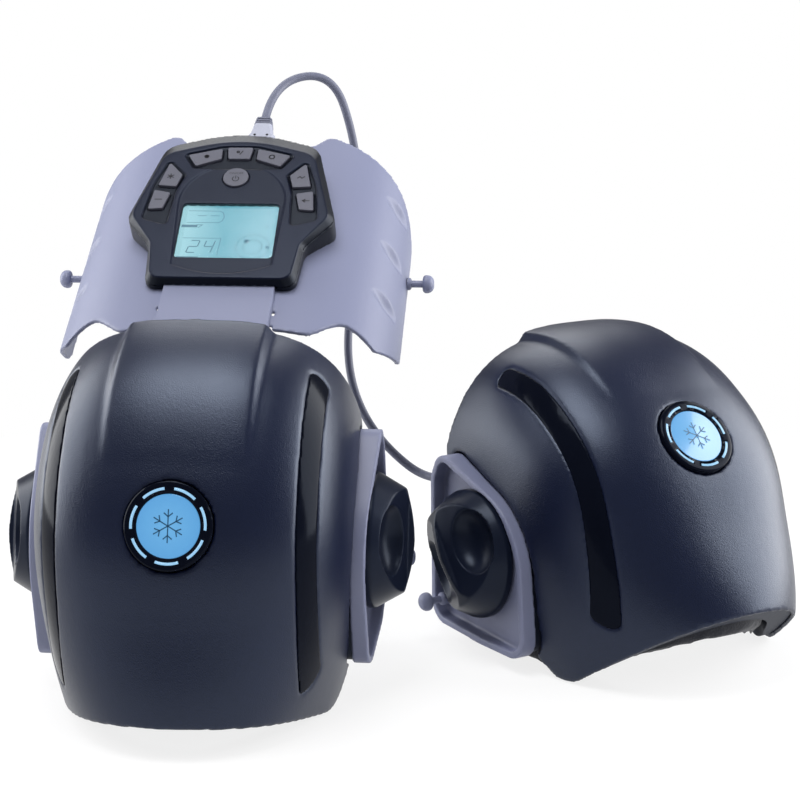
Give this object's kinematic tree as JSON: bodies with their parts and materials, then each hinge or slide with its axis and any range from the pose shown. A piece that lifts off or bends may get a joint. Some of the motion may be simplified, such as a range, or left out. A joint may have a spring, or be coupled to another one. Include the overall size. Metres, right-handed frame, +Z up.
{
  "type": "hot cold therapy machine",
  "caption": "Pair of hooded knee therapy units with side knobs and lit round badges, a hinged thigh plate carrying an LCD controller with buttons, and a cord joining the two",
  "frame": {"origin": "bottom centre of the whole object's box without the cord, on the surface it stands on", "axes": "+X across, from the unit with the controller to the other; +Y back, away from the viewer; +Z up"},
  "size_m": [0.5248, 0.3766, 0.3847],
  "materials": {
    "shell": "dark navy, fine texture, satin",
    "inner_cover": "dark navy, plain",
    "knee_pad": "soft black foam",
    "trim_gloss": "black, polished",
    "frame_lavender": "blue grey, satin",
    "knob_gloss": "dark slate, satin gloss",
    "plate_metal": "fine brushed",
    "ceramic": "white ceramic",
    "fan_black": "black",
    "board_green": "green solder mask",
    "badge_gloss": "black, polished",
    "badge_light": "lit blue diffuser",
    "dash_light": "lit light blue",
    "controller_body": "dark navy, satin",
    "lcd_glass": "clear window",
    "lcd_display": "light blue segment display",
    "buttons": "mid grey",
    "plug_plastic": "dark navy",
    "cord_rubber": "dark grey"
  },
  "bodies": {
    "units": {"left_outer_shell": "shell", "left_inner_cover": "inner_cover", "left_knee_pad": "knee_pad", "left_trim_strips": "trim_gloss", "left_strap_studs": "frame_lavender", "left_cold_plate": "plate_metal", "left_thermo_module": "ceramic", "left_heat_sink": "plate_metal", "left_fan_frame": "fan_black", "left_circuit_board": "board_green", "left_badge_ring": "badge_gloss", "left_badge_lens": "badge_light", "left_badge_light_guide": "dash_light", "left_side_frame_left": "frame_lavender", "left_side_frame_right": "frame_lavender", "right_outer_shell": "shell", "right_inner_cover": "inner_cover", "right_knee_pad": "knee_pad", "right_trim_strips": "trim_gloss", "right_strap_studs": "frame_lavender", "right_cold_plate": "plate_metal", "right_thermo_module": "ceramic", "right_heat_sink": "plate_metal", "right_fan_frame": "fan_black", "right_circuit_board": "board_green", "right_badge_ring": "badge_gloss", "right_badge_lens": "badge_light", "right_badge_light_guide": "dash_light", "right_side_frame_left": "frame_lavender", "right_side_frame_right": "frame_lavender", "hinge_pin": "plate_metal", "cable_gland": "cord_rubber", "controller_cord": "cord_rubber"},
    "left_knob_left": {"left_knob_left": "knob_gloss"},
    "left_knob_right": {"left_knob_right": "knob_gloss"},
    "left_fan_rotor": {"left_fan_rotor": "fan_black"},
    "right_knob_left": {"right_knob_left": "knob_gloss"},
    "right_knob_right": {"right_knob_right": "knob_gloss"},
    "right_fan_rotor": {"right_fan_rotor": "fan_black"},
    "thigh": {"thigh_plate": "frame_lavender", "link_strip": "frame_lavender", "plate_studs": "frame_lavender", "controller_cover": "controller_body", "controller_base": "controller_body", "lcd_window": "lcd_glass", "lcd_module": "lcd_display", "controller_board": "board_green", "cord_plug": "plug_plastic", "plug_strain_relief": "cord_rubber"},
    "button_lower_left": {"button_lower_left": "buttons"},
    "button_middle_left": {"button_middle_left": "buttons"},
    "button_upper_left": {"button_upper_left": "buttons"},
    "button_top": {"button_top": "buttons"},
    "button_upper_right": {"button_upper_right": "buttons"},
    "button_middle_right": {"button_middle_right": "buttons"},
    "button_lower_right": {"button_lower_right": "buttons"},
    "power_button": {"power_button": "buttons"}
  },
  "joints": [
    {"name": "left_knob_left_turn", "type": "hinge", "parent": "units", "child": "left_knob_left", "pos_m": [-0.23188, -0.02276, 0.0973], "axis": [-0.9961, 0.0885, 0], "range_deg": [-120, 120]},
    {"name": "left_knob_right_turn", "type": "hinge", "parent": "units", "child": "left_knob_right", "pos_m": [-0.02409, -0.04123, 0.0973], "axis": [0.9961, -0.0885, 0], "range_deg": [-120, 120]},
    {"name": "left_fan_rotor_spin", "type": "hinge", "parent": "units", "child": "left_fan_rotor", "pos_m": [-0.13528, -0.11402, 0.19398], "axis": [-0.0574, -0.6458, 0.7613], "continuous": true},
    {"name": "right_knob_left_turn", "type": "hinge", "parent": "units", "child": "right_knob_left", "pos_m": [0.04874, 0.01677, 0.07012], "axis": [-0.859, -0.512, 0], "range_deg": [-120, 120]},
    {"name": "right_knob_right_turn", "type": "hinge", "parent": "units", "child": "right_knob_right", "pos_m": [0.22792, 0.12358, 0.07012], "axis": [0.859, 0.512, 0], "range_deg": [-120, 120]},
    {"name": "right_fan_rotor_spin", "type": "hinge", "parent": "units", "child": "right_fan_rotor", "pos_m": [0.15789, 0.03737, 0.19125], "axis": [0.154, -0.2583, 0.9537], "continuous": true},
    {"name": "thigh_tilt", "type": "hinge", "parent": "units", "child": "thigh", "pos_m": [-0.13043, -0.05946, 0.22875], "axis": [0.9961, -0.0885, 0], "range_deg": [-6, 6], "deforming": ["controller_cord"]},
    {"name": "button_lower_left_press", "type": "slide", "parent": "thigh", "child": "button_lower_left", "axis": [0.055, 0.619, -0.7835], "range_m": [0, 0.0008], "stiffness_N_per_m": 1000},
    {"name": "button_middle_left_press", "type": "slide", "parent": "thigh", "child": "button_middle_left", "axis": [0.055, 0.619, -0.7835], "range_m": [0, 0.0008], "stiffness_N_per_m": 1000},
    {"name": "button_upper_left_press", "type": "slide", "parent": "thigh", "child": "button_upper_left", "axis": [0.055, 0.619, -0.7835], "range_m": [0, 0.0008], "stiffness_N_per_m": 1000},
    {"name": "button_top_press", "type": "slide", "parent": "thigh", "child": "button_top", "axis": [0.055, 0.619, -0.7835], "range_m": [0, 0.0008], "stiffness_N_per_m": 1000},
    {"name": "button_upper_right_press", "type": "slide", "parent": "thigh", "child": "button_upper_right", "axis": [0.055, 0.619, -0.7835], "range_m": [0, 0.0008], "stiffness_N_per_m": 1000},
    {"name": "button_middle_right_press", "type": "slide", "parent": "thigh", "child": "button_middle_right", "axis": [0.055, 0.619, -0.7835], "range_m": [0, 0.0008], "stiffness_N_per_m": 1000},
    {"name": "button_lower_right_press", "type": "slide", "parent": "thigh", "child": "button_lower_right", "axis": [0.055, 0.619, -0.7835], "range_m": [0, 0.0008], "stiffness_N_per_m": 1000},
    {"name": "power_button_press", "type": "slide", "parent": "thigh", "child": "power_button", "axis": [0.055, 0.619, -0.7835], "range_m": [0, 0.0008], "stiffness_N_per_m": 1000}
  ]
}
